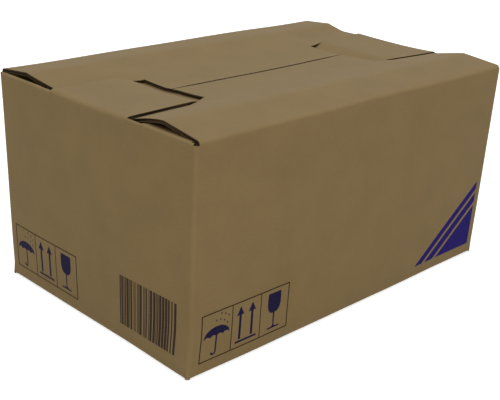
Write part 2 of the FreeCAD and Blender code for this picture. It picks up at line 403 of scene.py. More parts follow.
def long_flap_point(strip, place, step):
    """A point of a long flap past its fold, step cells in from the fold."""
    near = min(place, 2 * HALF_LENGTH - place)
    end = "left" if on_wall(strip, place, 0).x < 0 else "right"
    slot, _, slot_gap = TUCKS[end, strip]
    gap = WINDOW_GAP + (slot_gap - WINDOW_GAP) * ramp(near, TAB_STRAIGHT, slot)
    side = HALF_WIDTH - tab_half(min(near, slot), end, strip) - gap
    opening = ramp(near, slot, slot + SEAM_OPENING)
    seam_v = HALF_WIDTH - SEAM_TIGHT - (SEAM_WIDE - SEAM_TIGHT) * opening
    ridge_v, ridge_z = RIDGES[strip]
    fold_v, fold_z = bend(long_turn(strip), LONG_HEIGHT)
    first, second, _ = FLAP_RUNS
    if step <= first:
        v = fold_v + (ridge_v - fold_v) * step / first
        z = fold_z + (ridge_z - fold_z) * step / first
    else:
        step -= first
        v = ridge_v + (side - ridge_v) * step / second
        if step > second:
            v = side + (seam_v - side) * UNDER_TAB[step - second]
        z = flap_height(strip, end, near, v, side)
    shift = FLAP_TAPER * min(v / TAB_EDGE, 1.0) * (1 - ramp(near, FOLD, EAR_END))
    middle_slot = (TUCKS[end, "front"][0] + TUCKS[end, "back"][0]) / 2
    by_slot = 1 - ramp(near, slot, slot + SEAM_CHAMFER_RUN)
    shift += (middle_slot - slot) * (ramp(v, SEAM_V - SEAM_CHAMFER, SEAM_V) * by_slot)
    place += shift if place < HALF_LENGTH else -shift
    return on_flap(strip, place, v, z), place, LONG_HEIGHT + v


def long_turn(strip):
    """How far a long flap turns at its fold, so that it runs straight on to its ridge."""
    inset, rise = RIDGES[strip][0] - FOLD, RIDGES[strip][1] - LONG_HEIGHT + FOLD
    return math.pi - math.atan2(rise, inset) - math.acos(FOLD / math.hypot(inset, rise))


print("a long flap turns", round(math.degrees(long_turn("front")), 1), "degrees at its fold")

# %% [markdown]
# ### The tabs and wings
#
# An end flap is cut into a tab and two wings. The tab lies over the ears, narrows to a neck and
# goes down through the window, and its rounded tip is held under the long flaps. The wings are
# folded down inside before it. A lattice could bend a flat tab, but the neck and the tip need
# sizes. So a tab is swept from its fold: each row of cells is set a distance in, as wide as the
# tab is there, and at the height that `tab_height` gives.


# %% Folds of the top
def top_fold(strip, part, place):
    """A top fold's crest, the angle that it turns through, and its outer radius."""
    if part == "long_flap":
        return LONG_HEIGHT, long_turn(strip), FOLD
    if part == "tab":
        return tab_height(strip, 0.0, HALF_WIDTH - place), math.pi / 2, FOLD
    half_of = "front" if on_wall(strip, place, 0).y < 0 else "back"
    return WING_CREST[half_of], WING_TURN[half_of], WING_FOLD


print("a wing turns", round(math.degrees(WING_TURN["front"]), 1), "degrees at its fold")


# %% The tabs and wings of the end flaps
def tab_point(strip, place, step):
    """A point of a tab past its fold."""
    first, second, third = FLAP_RUNS
    if step <= first:
        u = FOLD + (TAB_LEVEL - FOLD) * step / first
    elif step <= first + second:
        u = TAB_LEVEL + (SLOT - TAB_LEVEL) * (step - first) / second
    else:
        share = (step - first - second) / third
        u = SLOT + (TAB_REACH - SLOT) * (1 - (1 - share) ** TIP_EASE)
    half_of = "front" if on_wall(strip, place, 0).y < 0 else "back"
    place = HALF_WIDTH + (place - HALF_WIDTH) * tab_half(u, strip, half_of) / TAB_ROOT
    z = tab_height(strip, u, on_wall(strip, place, 0).y)
    return on_flap(strip, place, u, z), place, END_HEIGHT + u


def wing_point(strip, place, step):
    """A point of a wing past its fold, hanging down inside the carton."""
    crest, turn, radius = top_fold(strip, "wing", place)
    inset, z = bend(turn, crest, radius=radius)
    run = WING_LENGTH * step / sum(FLAP_RUNS)
    inset += run * math.sin(turn)
    z += run * math.cos(turn)
    return on_flap(strip, place, inset, z), place, END_HEIGHT + run


print("half widths of a tab:", [round(tab_half(u, "left", "front"), 1)
                               for u in (0, TAB_STRAIGHT, SLOT, TAB_REACH)])

# %% [markdown]
# ### The flaps of the bottom
#
# Four flaps close the bottom. The wide back flap lies inside. Under it the two end flaps and the
# front flap make the outer face, and their corners are mitred so that they don't lie on one
# another. A mitre could be cut from the mesh with a plane. Here the columns of a flap are drawn
# together towards its tip, which gives the same slanted sides and keeps the grid whole.


# %% The flaps of the bottom
def bottom_point(strip, place, inset, z):
    """A point of a bottom flap, drawn in at its sides by the mitres."""
    if strip == "front":
        reach = HALF_LENGTH - FOLD
        shrink = min(1.0, (HALF_LENGTH - MITRE_GAP - inset) / reach)
        place = HALF_LENGTH + (place - HALF_LENGTH) * shrink
    if strip in ("left", "right"):
        first, last = places_of[strip][0], places_of[strip][-1]
        back = first if strip == "left" else last
        shrink = min(1.0, (last - first + FOLD - MITRE_GAP - inset) / (last - first))
        place = back + (place - back) * shrink
    return on_flap(strip, place, inset, z), place, -inset


def bottom_crest(strip):
    """Height of the outer face of a bottom flap."""
    return INNER_FLOOR if strip == "back" else 0.0


print("bottom flaps:", BOTTOM_DEPTH)

# %% [markdown]
# ### One map for the whole blank
#
# Each row of the grid is at one level of the carton: bottom flap, fold, wall, fold or top flap.
# `folded` sends a point to the rule for its level. It gives the point's place on the folded
# carton, and also its place on the flat blank, which the finishes need later. Where the die has
# only slit the board, the two sides are moved apart by a hair, so that they don't touch once they
# have thickness.


# %% Below the walls
# How far the sides of a slit are moved apart, in millimetres and as a share of a corner's turn.
SLIT = 0.3
CORNER_SLIT = SLIT / 5
last_row = {level: max(i for i, cell in enumerate(up) if cell[0] == level) + 1 for level, _ in up}
first_row = {level: min(i for i, cell in enumerate(up) if cell[0] == level) for level, _ in up}


def lower_point(strip, part, place, row):
    """A point below the walls, from the tip of a bottom flap to the foot of the wall."""
    crest = bottom_crest(strip)
    if row == first_row["bottom_leg"]:
        if part == "cut_edge" and strip not in INWARD and strip != "back_edge":
            place = min(max(place, CORNER_SLIT), 1 - CORNER_SLIT)
            return on_wall(strip, place, RAW_EDGE), place, RAW_EDGE
        crest = INNER_FLOOR if strip == "back_edge" else crest
        return on_wall(strip, place, crest + FOLD), place, FOLD
    if row > first_row["bottom_bend"]:
        angle = math.pi / 2 * (first_row["bottom_leg"] - row) / BEND_STEPS
        inset, z = bend(angle, crest, up_side=-1)
        return bottom_point(strip, place, inset, z)
    share = 1 - row / first_row["bottom_bend"]
    return bottom_point(strip, place, FOLD + (BOTTOM_DEPTH[strip] - FOLD) * share, crest)


print("first row of each level:", first_row)

# %% Above the walls
FLAP_POINTS = {"long_flap": long_flap_point, "tab": tab_point, "wing": wing_point}


def upper_point(strip, part, place, row):
    """A point above the walls, from the wall's last crease to the tip of a top flap."""
    if part == "cut_edge":
        return on_wall(strip, place, END_HEIGHT - RAW_EDGE), place, END_HEIGHT
    crest, turn, radius = top_fold(strip, part, place)
    if part == "lip":
        inset = min(place, 2 * HALF_WIDTH - place)
        nudge = {TAB_EDGE: -SLIT, FOLD: SLIT, FOLD + BOARD: SLIT}.get(inset, 0.0)
        place += nudge if place < HALF_WIDTH else -nudge
    if row <= first_row["top_flap"]:
        angle = turn * (row - first_row["top_bend"]) / BEND_STEPS
        inset, z = bend(angle, crest, radius=radius)
        return on_flap(strip, place, inset, z), place, crest + inset
    return FLAP_POINTS[part](strip, place, row - first_row["top_flap"])


print(last_row["top_flap"] - last_row["wall"], "rows above the walls")


# %% Any point of the blank
def folded(strip, part, place, row):
    """Where a point of the blank goes, and its place along and up the flat blank."""
    if row <= first_row["bottom_leg"]:
        return lower_point(strip, part, place, row)
    if row <= last_row["wall"]:
        z = wall_heights[row - first_row["wall"]]
        return on_wall(strip, place, z), place, z
    return upper_point(strip, part, place, row)


tip = folded("left", "tab", HALF_WIDTH, last_row["top_flap"])
print("a tab ends", tip[2], "mm up the flat blank")

# %% [markdown]
# ## Handling marks
#
# No real carton is quite flat. Paper board takes up moisture and swells a little, panels bow, and
# the bottom corners are knocked when it is set down. It could be sculpted by hand. Here one
# function moves any point: smooth noise by well under a millimetre, and a rule for each bow, lean
# and knock. The print goes through the same function, so it stays on the board.

# %% Warp of the board
# Blender seeds its noise by the clock, so a seed of our own keeps the carton the same every time.
noise.seed_set(5)
# The strength of the noise and the size of its waves, and how far a panel bows out.
WARP, WARP_SIZE = 0.9, 95.0
BOW = 0.8
# The foot stays flat on the floor. From this height upwards the noise moves the board up and down.
FREE_HEIGHT = 40.0
# Two corners that lie across from each other lean out at the top and in at the foot.
LEAN_TOP, LEAN_FOOT = 1.7, 1.3
# Each knocked corner: which one it is, how far it moved, and how wide and high that reaches.
KNOCKS = [(-1, 1, (-1.06, 1.06), 7.0, 9.0), (-1, -1, (-1.8, 1.5), 90.0, 45.0),
          (1, -1, (0.2, -0.2), 7.0, 9.0), (1, 1, (0.57, 0.57), 7.0, 9.0)]


def handled(point):
    """A point in millimetres, moved as handling and damp have moved the board."""
    shift = WARP * noise.noise_vector(point / WARP_SIZE)
    out_x, out_y = point.x / HALF_LENGTH, point.y / HALF_WIDTH
    height = min(max(point.z / LONG_HEIGHT, 0.0), 1.0)
    swell = BOW * math.sin(math.pi * height)
    shift.x += swell * max(0.0, 1 - out_y ** 2) * out_x ** 5
    shift.y += swell * max(0.0, 1 - out_x ** 2) * out_y ** 5
    leaning = (1 - out_y * math.copysign(1, point.x)) / 2
    shift.x += leaning * (LEAN_TOP * height - LEAN_FOOT * (1 - height)) * out_x ** 3
    shift.z *= ramp(point.z, INNER_FLOOR + BOARD, FREE_HEIGHT)
    for side_x, side_y, (move_x, move_y), spread, reach in KNOCKS:
        corner = Vector((side_x * HALF_LENGTH, side_y * HALF_WIDTH, point.z))
        near = (1 - ramp((point - corner).length, 0, spread)) * (1 - ramp(point.z, 0, reach))
        shift += near * Vector((move_x, move_y, 0))
    return point + shift


print("a foot moves to", [round(c, 1) for c in handled(Vector((-HALF_LENGTH, HALF_WIDTH, 0)))])

# %% [markdown]
# ## Fold it in Blender, and give it its thickness
#
# Every point of the grid now goes to its folded place. While the flat place of a point is known,
# it is written down as a UV map in metres, so the paper's fibre and the flutes run over the folds
# as they do on a real blank. A number on each point marks the creases, where the paper is rubbed
# pale and a highlight is painted along the fold. The Solidify modifier then gives the sheet its
# 3 mm. Its rim faces are the cut edges, and they take a material of their own.

# %% Where each strip starts on the flat blank
CORNER_RUN = FOLD * math.pi / 2
flat_start, first_column = {}, {}
blank_length, columns_before = 0.0, 0
for strip, places in STRIPS:
    flat_start[strip] = blank_length
    first_column[strip] = columns_before
    span = places[-1] - places[0]
    blank_length += span * (CORNER_RUN if strip in CORNERS else 1)
    columns_before += len(places) - 1
print("the flat blank is", round(blank_length), "mm long")

# %% Move every point of the blank to its place
# How pale each kind of crease is made, from 0 for not at all to 1: rubbed paper, and a painted
# highlight along the fold.
TOP_WEAR_AND_HIGHLIGHT, FOOT_WEAR_AND_HIGHLIGHT, CORNER_WEAR_AND_HIGHLIGHT, RIDGE_WEAR_AND_HIGHLIGHT = 0.3, 0.5, 0.2, 0.15
wear_and_highlight_of = blank.verts.layers.float.new("wear_and_highlight")
flat_of = blank.verts.layers.float_vector.new("flat")
# A point on the line between two parts is moved with the one of higher rank.
RANK = {"cut_edge": 0, "lap": 0, "lip": 1, "wing": 2, "tab": 2, "long_flap": 3}
for vert in blank.verts:
    face = max(vert.link_faces, key=lambda face: RANK[PARTS[face[part_layer]]])
    strip, part = strip_names[face[strip_layer]], PARTS[face[part_layer]]
    place = places_of[strip][vert[column_of] - first_column[strip]]
    point, along, high = folded(strip, part, place, vert[row_of])
    along = (along - places_of[strip][0]) * (CORNER_RUN if strip in CORNERS else 1)
    vert[flat_of] = Vector((flat_start[strip] + along, high, 0)) * MM
    in_bend = first_row["top_bend"] < vert[row_of] < first_row["top_flap"]
    low_bend = first_row["bottom_bend"] < vert[row_of] < first_row["bottom_leg"]
    at_ridge = part == "long_flap" and vert[row_of] == first_row["top_flap"] + FLAP_RUNS[0]
    in_corner = strip in CORNERS and 0 < place < 1
    # Creases are marked paler: partly rubbed paper, partly a painted highlight along the fold.
    vert[wear_and_highlight_of] = max(TOP_WEAR_AND_HIGHLIGHT * in_bend, FOOT_WEAR_AND_HIGHLIGHT * low_bend, CORNER_WEAR_AND_HIGHLIGHT * in_corner,
                        RIDGE_WEAR_AND_HIGHLIGHT * at_ridge)
    vert.co = handled(point) * MM

flat_map = blank.loops.layers.uv.new("blank")
for face in blank.faces:
    for loop in face.loops:
        loop[flat_map].uv = loop.vert[flat_of].xy
print(len(blank.verts), "points folded")

# %% Give the sheet its thickness
sheet_mesh = bpy.data.meshes.new("carton_board")
blank.to_mesh(sheet_mesh)
outer_count = len(blank.verts)
blank.free()
carton = bpy.data.objects.new("carton_board", sheet_mesh)
bpy.context.scene.collection.objects.link(carton)
thick = carton.modifiers.new("board thickness", "SOLIDIFY")
thick.thickness = BOARD * MM
thick.offset = -1.0
thick.use_even_offset = True
thick.use_rim = True
thick.material_offset_rim = 1
for name in ("kraft_liner", "cut_board_edge"):
    carton.data.materials.append(bpy.data.materials.new(name))
ready = carton.evaluated_get(bpy.context.evaluated_depsgraph_get())
board_mesh = bpy.data.meshes.new_from_object(ready)
carton.modifiers.clear()
carton.data = board_mesh
print(len(board_mesh.polygons), "faces,", len(board_mesh.vertices), "points")

# %% [markdown]
# A cut edge of board shows its layers, so its finish has to know how deep in the board a point
# lies. Solidify puts the points of the inner face after those of the outer face. So a number on
# each point, 0 outside and 1 inside, gives the depth, and it runs evenly across the rim between
# them.

# %% Mark how deep each point lies in the board
SHARP_FROM = math.radians(40)
depth = board_mesh.attributes.new("depth", "FLOAT", "POINT")
depth.data.foreach_set("value", [0.0 if i < outer_count else 1.0
                                 for i in range(len(board_mesh.vertices))])
board_mesh.shade_smooth()
board_mesh.set_sharp_from_angle(angle=SHARP_FROM)
rim = sum(face.material_index for face in board_mesh.polygons)
print(rim, "faces of cut edge")

# %% [markdown]
# ## Print
#
# The print is flexographic: a rubber plate stamps thin ink on the flat blank before it is folded.
# There are three handling signs on two panels, a block of plain bars and a blue corner. The ink
# could be a pattern in the board's own material. As thin shapes of its own it keeps crisp edges at
# any distance. Each print is drawn flat, in millimetres, cut into squares so that it can follow
# the warp of the board, given a little thickness and set on its panel.

# %% Helpers for flat print
# How far the ink stands proud of the board, how far it reaches in, and the size of its squares.
INK_PROUD, INK_DEEP = 0.07, 0.1
DICE = 8.0
# Points this near to a cut, or to each other, count as one, so that no sliver or seam is left.
TOUCHING = 0.001


def flat_face(print_mesh, points):
    """A flat printed shape from its corners."""
    return print_mesh.faces.new([print_mesh.verts.new((x, y, 0)) for x, y in points])


def moved(print_mesh, verts, x, y, width=1.0, height=1.0):
    """Scales new points about the origin and moves them to (x, y)."""
    place = Matrix.Translation((x, y, 0)) @ Matrix.Diagonal((width, height, 1, 1))
    bmesh.ops.transform(print_mesh, verts=verts, matrix=place)


def diced(print_mesh):
    """Cuts a flat print along a square grid."""
    for axis in (Vector((1, 0, 0)), Vector((0, 1, 0))):
        reach = [vert.co.dot(axis) for vert in print_mesh.verts]
        line = DICE * math.ceil(min(reach) / DICE)
        while line < max(reach):
            whole = print_mesh.verts[:] + print_mesh.edges[:] + print_mesh.faces[:]
            bmesh.ops.bisect_plane(print_mesh, geom=whole, dist=TOUCHING,
                                   plane_co=line * axis, plane_no=axis)
            line += DICE


def printed(name, draw, strip, place, ink, sizes=(), stretch=1.0):
    """Draws a print, moves it to its place on a panel, and sets it on the board in thin ink."""
    print_mesh = bmesh.new()
    draw(print_mesh, *sizes)
    moved(print_mesh, print_mesh.verts[:], *place, stretch)
    diced(print_mesh)
    bmesh.ops.remove_doubles(print_mesh, verts=print_mesh.verts[:], dist=TOUCHING)
    print_mesh.normal_update()
    for face in print_mesh.faces:
        if face.normal.z < 0:
            face.normal_flip()
    bmesh.ops.solidify(print_mesh, geom=print_mesh.faces[:], thickness=INK_PROUD + INK_DEEP)
    proud = INK_PROUD - max(vert.co.z for vert in print_mesh.verts)
    outward = on_flap(strip, HALF_WIDTH, -1, 0) - on_wall(strip, HALF_WIDTH, 0)
    for vert in print_mesh.verts:
        foot = handled(on_wall(strip, vert.co.x, vert.co.y))
        vert.co = (foot + outward * (vert.co.z + proud)) * MM
    mesh = bpy.data.meshes.new(name)
    print_mesh.to_mesh(mesh)
    print_mesh.free()
    mesh.materials.append(ink)
    piece = bpy.data.objects.new(name, mesh)
    bpy.context.scene.collection.objects.link(piece)
    print(name, len(mesh.polygons), "faces")
    return piece


print("ink stands", INK_PROUD, "mm proud of the board")

# %% [markdown]
# ### The handling signs
#
# The signs tell a carrier to keep the carton dry, this way up, and to handle it with care. They
# are the plain ones of the trade, in a row of three boxes. The boxes are a grid of three cells,
# inset by half a line and emptied, and the outer line is moved out to be as thick as the inner
# ones. The umbrella starts as a circle whose lower half is pulled up to scallops, and its hook is
# an extruded half ring. Arrows and glass are straight-edged enough to be drawn as one face each.

# %% The row of boxes
SIGN_WIDTH, SIGN_HEIGHT, SIGN_LINE = 99.0, 41.4, 1.25


def sign_boxes(print_mesh):
    """A row of three boxes drawn in line, with its lower left corner at the origin."""
    middle = Vector((SIGN_WIDTH / 2, SIGN_HEIGHT / 2))
    made = bmesh.ops.create_grid(print_mesh, x_segments=3, y_segments=1, size=0.5)
    moved(print_mesh, made["verts"], middle.x, middle.y, SIGN_WIDTH, SIGN_HEIGHT)
    boxes = print_mesh.faces[:]
    bmesh.ops.inset_individual(print_mesh, faces=boxes, thickness=SIGN_LINE / 2)
    bmesh.ops.delete(print_mesh, geom=boxes, context="FACES")
    for vert in made["verts"]:
        out_x, out_y = vert.co.x - middle.x, vert.co.y - middle.y
        at_end = abs(out_x) > SIGN_WIDTH / 3
        vert.co.x += at_end * math.copysign(SIGN_LINE / 2, out_x)
        vert.co.y += math.copysign(SIGN_LINE / 2, out_y)


print("sign boxes", SIGN_WIDTH, "by", SIGN_HEIGHT)

# %% Keep dry
CANOPY, HANDLE, HOOK = 13.8, 1.5, 3.0
# The canopy's height and the scallops' depth, as shares of its half width.
CANOPY_RISE, SCALLOP = 0.63, 0.18
DROP, DROP_SHAPE = 0.75, (0.8, 1.3)
# For each arc of drops: its radius, its first angle, the angle to the next drop, and how many.
DROP_ARCS = ((14.2, 94.0, -18.7, 4), (19.6, 77.0, -13.7, 3))


def rectangle(print_mesh, left, bottom, right, top):
    """A printed rectangle."""
    flat_face(print_mesh, [(left, bottom), (right, bottom), (right, top), (left, top)])


def umbrella(print_mesh, x, y, foot):
    """An umbrella with a scalloped edge at height y, its hooked handle, and drops of rain."""
    circle = bmesh.ops.create_circle(print_mesh, cap_ends=True, segments=48, radius=CANOPY)
    for vert in circle["verts"]:
        if vert.co.y < 0:
            vert.co.y = SCALLOP * CANOPY * abs(math.sin(math.tau * vert.co.x / CANOPY))
    moved(print_mesh, circle["verts"], x, y, 1.0, CANOPY_RISE)
    rectangle(print_mesh, x - HANDLE / 2, foot, x + HANDLE / 2, y + 0.5)
    ring = bmesh.ops.create_circle(print_mesh, cap_ends=False, segments=20, radius=HOOK)["verts"]
    above = [vert for vert in ring if vert.co.y > 0.1]
    low = [vert for vert in ring if vert.co.y <= 0.1]
    bmesh.ops.delete(print_mesh, geom=above, context="VERTS")
    rim = [edge for edge in print_mesh.edges if edge.verts[0] in low and edge.verts[1] in low]
    wide = bmesh.ops.extrude_edge_only(print_mesh, edges=rim)["geom"]
    inner = [item for item in wide if isinstance(item, bmesh.types.BMVert)]
    bmesh.ops.scale(print_mesh, vec=(1 - HANDLE / HOOK, 1 - HANDLE / HOOK, 1), verts=inner)
    moved(print_mesh, low + inner, x + HANDLE / 2 - HOOK, foot)
    for radius, first, step, count in DROP_ARCS:
        for i in range(count):
            angle = math.radians(first + i * step)
            drop = bmesh.ops.create_circle(print_mesh, cap_ends=True, segments=8, radius=DROP)
            moved(print_mesh, drop["verts"], x + radius * math.cos(angle),
                  y + radius * math.sin(angle), *DROP_SHAPE)


print("drops:", sum(count for *_, count in DROP_ARCS))

# %% This way up, and handle with care
SHAFT, HEAD, HEAD_LENGTH, BARB = 1.25, 4.2, 7.6, 0.4
# The right side of a glass, from its rim to its foot.
GLASS_SIDE = ((7.4, 33.6), (7.7, 26.0), (7.6, 22.0), (6.6, 18.2), (4.2, 15.4), (0.8, 14.6),
              (0.7, 2.6), (2.6, 1.5), (7.3, 1.3), (7.3, 0.0))


def arrow(print_mesh, x, foot, tip):
    """An arrow pointing up."""
    neck = tip - HEAD_LENGTH
    right = [(SHAFT, foot), (SHAFT, neck), (HEAD, neck - BARB)]
    outline = right + [(0.0, tip)] + [(-dx, y) for dx, y in right[::-1]]
    flat_face(print_mesh, [(x + dx, y) for dx, y in outline])


def glass(print_mesh, x, foot):
    """A stemmed glass, the same on both sides of its middle."""
    right = [(x + dx, foot + dy) for dx, dy in GLASS_SIDE]
    left = [(x - dx, foot + dy) for dx, dy in GLASS_SIDE[::-1]]
    flat_face(print_mesh, right + left)


print("a glass is", round(2 * max(dx for dx, _ in GLASS_SIDE), 1), "mm wide")

# %% The three signs in their boxes
CANOPY_AT, HANDLE_FOOT = (16.3, 19.5), 5.9
ARROWS_AT, ARROW_FOOT, ARROW_TIP = (42.3, 55.9), 7.3, 37.4
GROUND_LINE = (37.8, 4.1, 61.6, 6.0)
GLASS_AT = (82.3, 3.9)


def signs(print_mesh):
    """The three signs, in boxes whose lower left corner is at the origin."""
    umbrella(print_mesh, *CANOPY_AT, HANDLE_FOOT)
    for x in ARROWS_AT:
        arrow(print_mesh, x, ARROW_FOOT, ARROW_TIP)
    rectangle(print_mesh, *GROUND_LINE)
    glass(print_mesh, *GLASS_AT)


print("arrows", round(ARROW_TIP - ARROW_FOOT, 1), "mm high")

# %% [markdown]
# ### The bars and the corner
#
# The bars on the end panel are plain upright strips. Their widths are drawn by chance from a few
# sizes, with a fixed seed, so they say nothing and are the same in every run. The low right corner
# of the front has a blue triangle, which two bare stripes divide along its slanting side.

# %% Bars and corner triangle
BAR_WIDTHS, BAR_GAPS = (0.8, 0.8, 1.4, 2.0, 2.8), (0.8, 0.8, 1.3, 2.0)
# Where each blue band starts and ends, on the way from the square corner to the slanted side.
BLUE_SHARES = ((0.0, 0.62), (0.68, 0.82), (0.88, 1.0))


def bars(print_mesh, width, height):
    """A block of plain upright bars of random width, from the origin."""
    spread = random.Random(7)
    place = 0.0
    while place < width:
        bar = min(spread.choice(BAR_WIDTHS), width - place)
        rectangle(print_mesh, place, 0.0, place + bar, height)
        place += bar + spread.choice(BAR_GAPS)


def corner_triangle(print_mesh, width, height):
    """A striped triangle that reaches left and up from its square corner at the origin."""
    for inner, outer in BLUE_SHARES:
        near = [(0.0, inner * height), (-inner * width, 0.0)] if inner else [(0.0, 0.0)]
        flat_face(print_mesh, [(-outer * width, 0.0), (0.0, outer * height)] + near)


print("blue bands:", len(BLUE_SHARES))

# %% [markdown]
# ## Finishes
#
# Colours are written as hex codes, as on a screen. Shaders count light, so `linear` turns each
# code into the amounts of light that it stands for. One helper adds a node of any kind, with its
# values and links. Sockets that share a name are given by number: a Mix node takes its share at 0
# and its colours at 6 and 7, and Map Range turns the range from 1 to 2 into the range from 3 to 4.

# %% Helpers for shader nodes
def linear(code):
    """An sRGB hex colour as the linear colour that shaders take."""
    parts = [int(code[i:i + 2], 16) / 255 for i in (1, 3, 5)]
    return [c / 12.92 if c <= 0.04045 else ((c + 0.055) / 1.055) ** 2.4 for c in parts] + [1.0]


def add_node(tree, kind, inputs=None, **settings):
    """Adds a shader node. inputs gives each socket a plain value or another node's output."""
    node = tree.nodes.new(kind)
    for name, value in settings.items():
        setattr(node, name, value)
    for key, value in (inputs or {}).items():
        if isinstance(value, bpy.types.NodeSocket):
            tree.links.new(value, node.inputs[key])
        else:
            node.inputs[key].default_value = value
    return node


def empty_tree(owner):
    """Switches a material or the world to nodes, and empties its node tree."""
    owner.use_nodes = True
    owner.node_tree.nodes.clear()
    return owner.node_tree


print("kraft brown in linear colour:", [round(c, 3) for c in linear("#8b764f")])

# %% [markdown]
# ### Kraft liner
#
# The faces of the board are kraft liner: unbleached brown paper, rolled smooth in the mill and
# glued over the flutes. To the eye it is a warm, dull brown with soft clouds a few centimetres
# wide and a fine grain that runs one way. It has almost no shine, and the flutes under it show as
# faint washboard lines. Where it is creased the paper is rubbed a little paler, and the same paler
# colour is a painted highlight along each fold. A photo of paper could be wrapped on, but noise
# along the flat blank has no seams, and its grain keeps one direction. B flute stands 6.5 mm
# apart.
# Real fibres are about 0.03 mm wide, far too fine to show, so they are drawn 6 mm long and 1.2 mm
# wide.

# %% Flutes
FLUTE_PITCH = 6.5 * MM


def flute_wave(tree, flat):
    """A wave from -1 to 1 along the blank, one to a flute."""
    along = add_node(tree, "ShaderNodeSeparateXYZ", {0: flat}).outputs[0]
    turn = add_node(tree, "ShaderNodeMath", {0: along, 1: math.tau / FLUTE_PITCH},
                    operation="MULTIPLY")
    return add_node(tree, "ShaderNodeMath", {0: turn.outputs[0]}, operation="SINE").outputs[0]


print("flutes to a long panel:", round(2 * HALF_LENGTH * MM / FLUTE_PITCH))

# %% Paper
CLOUD_SIZE = 35 * MM
FIBRE_LENGTH, FIBRE_WIDTH = 6 * MM, 1.2 * MM
RELIEF = 0.06 * MM


def kraft_liner(material):
    """Brown liner paper: clouds, grain, pale creases with painted highlight, and a faint relief of
    flutes.
    """
    tree = empty_tree(material)
    flat = add_node(tree, "ShaderNodeUVMap", uv_map="blank").outputs["UV"]
    clouds = add_node(tree, "ShaderNodeTexNoise",
                      {"Vector": flat, "Scale": 1 / CLOUD_SIZE, "Detail": 4.0}).outputs[0]
    along_grain = add_node(tree, "ShaderNodeMapping",
                           {"Vector": flat, "Scale": (1 / FIBRE_LENGTH, 1 / FIBRE_WIDTH, 1)})
    fibre = add_node(tree, "ShaderNodeTexNoise", {"Vector": along_grain.outputs[0], "Scale": 1.0,
                                                  "Detail": 3.0}).outputs[0]
    tone = add_node(tree, "ShaderNodeMix", {0: clouds, 6: linear("#7b6642"), 7: linear("#8b764f")},
                    data_type="RGBA")
    dark = add_node(tree, "ShaderNodeMapRange", {0: fibre, 1: 0.35, 2: 0.65, 3: 0.0, 4: 0.12})
    grained = add_node(tree, "ShaderNodeMix", {0: dark.outputs[0], 6: tone.outputs[2],
                                               7: linear("#695535")}, data_type="RGBA")
    # Creases mix towards a paler brown: rubbed paper and a painted highlight along the fold.
    wear_and_highlight = add_node(tree, "ShaderNodeAttribute", attribute_name="wear_and_highlight").outputs["Fac"]
    rub_and_highlight = add_node(tree, "ShaderNodeMath", {0: wear_and_highlight, 1: 0.35}, operation="MULTIPLY")
    colour = add_node(tree, "ShaderNodeMix", {0: rub_and_highlight.outputs[0], 6: grained.outputs[2],
                                              7: linear("#a08a60")}, data_type="RGBA")
    rough = add_node(tree, "ShaderNodeMapRange", {0: clouds, 3: 0.66, 4: 0.76})
    relief = add_node(tree, "ShaderNodeMath", {0: flute_wave(tree, flat), 1: 0.25, 2: fibre},
                      operation="MULTIPLY_ADD")
    bump = add_node(tree, "ShaderNodeBump", {"Height": relief.outputs[0], "Strength": 0.5,
                                             "Distance": RELIEF})
    shader = add_node(tree, "ShaderNodeBsdfPrincipled",
                      {"Base Color": colour.outputs[2], "Roughness": rough.outputs[0],
                       "Normal": bump.outputs[0], "IOR": 1.5, "Specular IOR Level": 0.2})
    add_node(tree, "ShaderNodeOutputMaterial", {"Surface": shader.outputs[0]})


kraft_liner(board_mesh.materials[0])
print(board_mesh.materials[0].name, len(board_mesh.materials[0].node_tree.nodes), "nodes")

# %% [markdown]
# ### Cut board edge
#
# Where the die cuts corrugated board, its edge shows two thin liners and a wavy medium between
# them, with hollows in shade. Real flutes could be modelled, but at 3 mm they are a few pixels
# high.
# The sheet here is solid, and the material draws the section: `depth` says how far through the
# board a point is, and the medium is a line that waves with the flutes. The hollows are painted
# near black, as painted shade. The gaps of a closed carton let in little light, so the paper
# threads are painted darker than the liner's face as well, and the edge reads as a dark line with
# paler threads.

# %% Section through the board
def cut_board_edge(material):
    """The edge of cut corrugated board: two liners, a waving medium, and painted shade in the
    hollows.
    """
    tree = empty_tree(material)
    flat = add_node(tree, "ShaderNodeUVMap", uv_map="blank").outputs["UV"]
    depth_in = add_node(tree, "ShaderNodeAttribute", attribute_name="depth").outputs["Fac"]
    centre = add_node(tree, "ShaderNodeMath", {0: flute_wave(tree, flat), 1: 0.3, 2: 0.5},
                      operation="MULTIPLY_ADD")
    off = add_node(tree, "ShaderNodeMath", {0: depth_in, 1: centre.outputs[0]},
                   operation="SUBTRACT")
    away = add_node(tree, "ShaderNodeMath", {0: off.outputs[0]}, operation="ABSOLUTE")
    medium = add_node(tree, "ShaderNodeMapRange",
                      {0: away.outputs[0], 1: 0.07, 2: 0.16, 3: 0.4, 4: 0.0})
    middle = add_node(tree, "ShaderNodeMath", {0: depth_in, 1: 0.5}, operation="SUBTRACT")
    outward = add_node(tree, "ShaderNodeMath", {0: middle.outputs[0]}, operation="ABSOLUTE")
    liner = add_node(tree, "ShaderNodeMapRange", {0: outward.outputs[0], 1: 0.36, 2: 0.42})
    paper = add_node(tree, "ShaderNodeMath", {0: medium.outputs[0], 1: liner.outputs[0]},
                     operation="MAXIMUM")
    # Painted shade: near black in the hollows, and threads darker than the liner's face for the
    # dim gaps.
    colour = add_node(tree, "ShaderNodeMix", {0: paper.outputs[0], 6: linear("#1e1409"),
                                              7: linear("#66543a")}, data_type="RGBA")
    shader = add_node(tree, "ShaderNodeBsdfPrincipled",
                      {"Base Color": colour.outputs[2], "Roughness": 0.85, "IOR": 1.5,
                       "Specular IOR Level": 0.1})
    add_node(tree, "ShaderNodeOutputMaterial", {"Surface": shader.outputs[0]})


cut_board_edge(board_mesh.materials[1])
print("finishes of the board:", [material.name for material in board_mesh.materials])

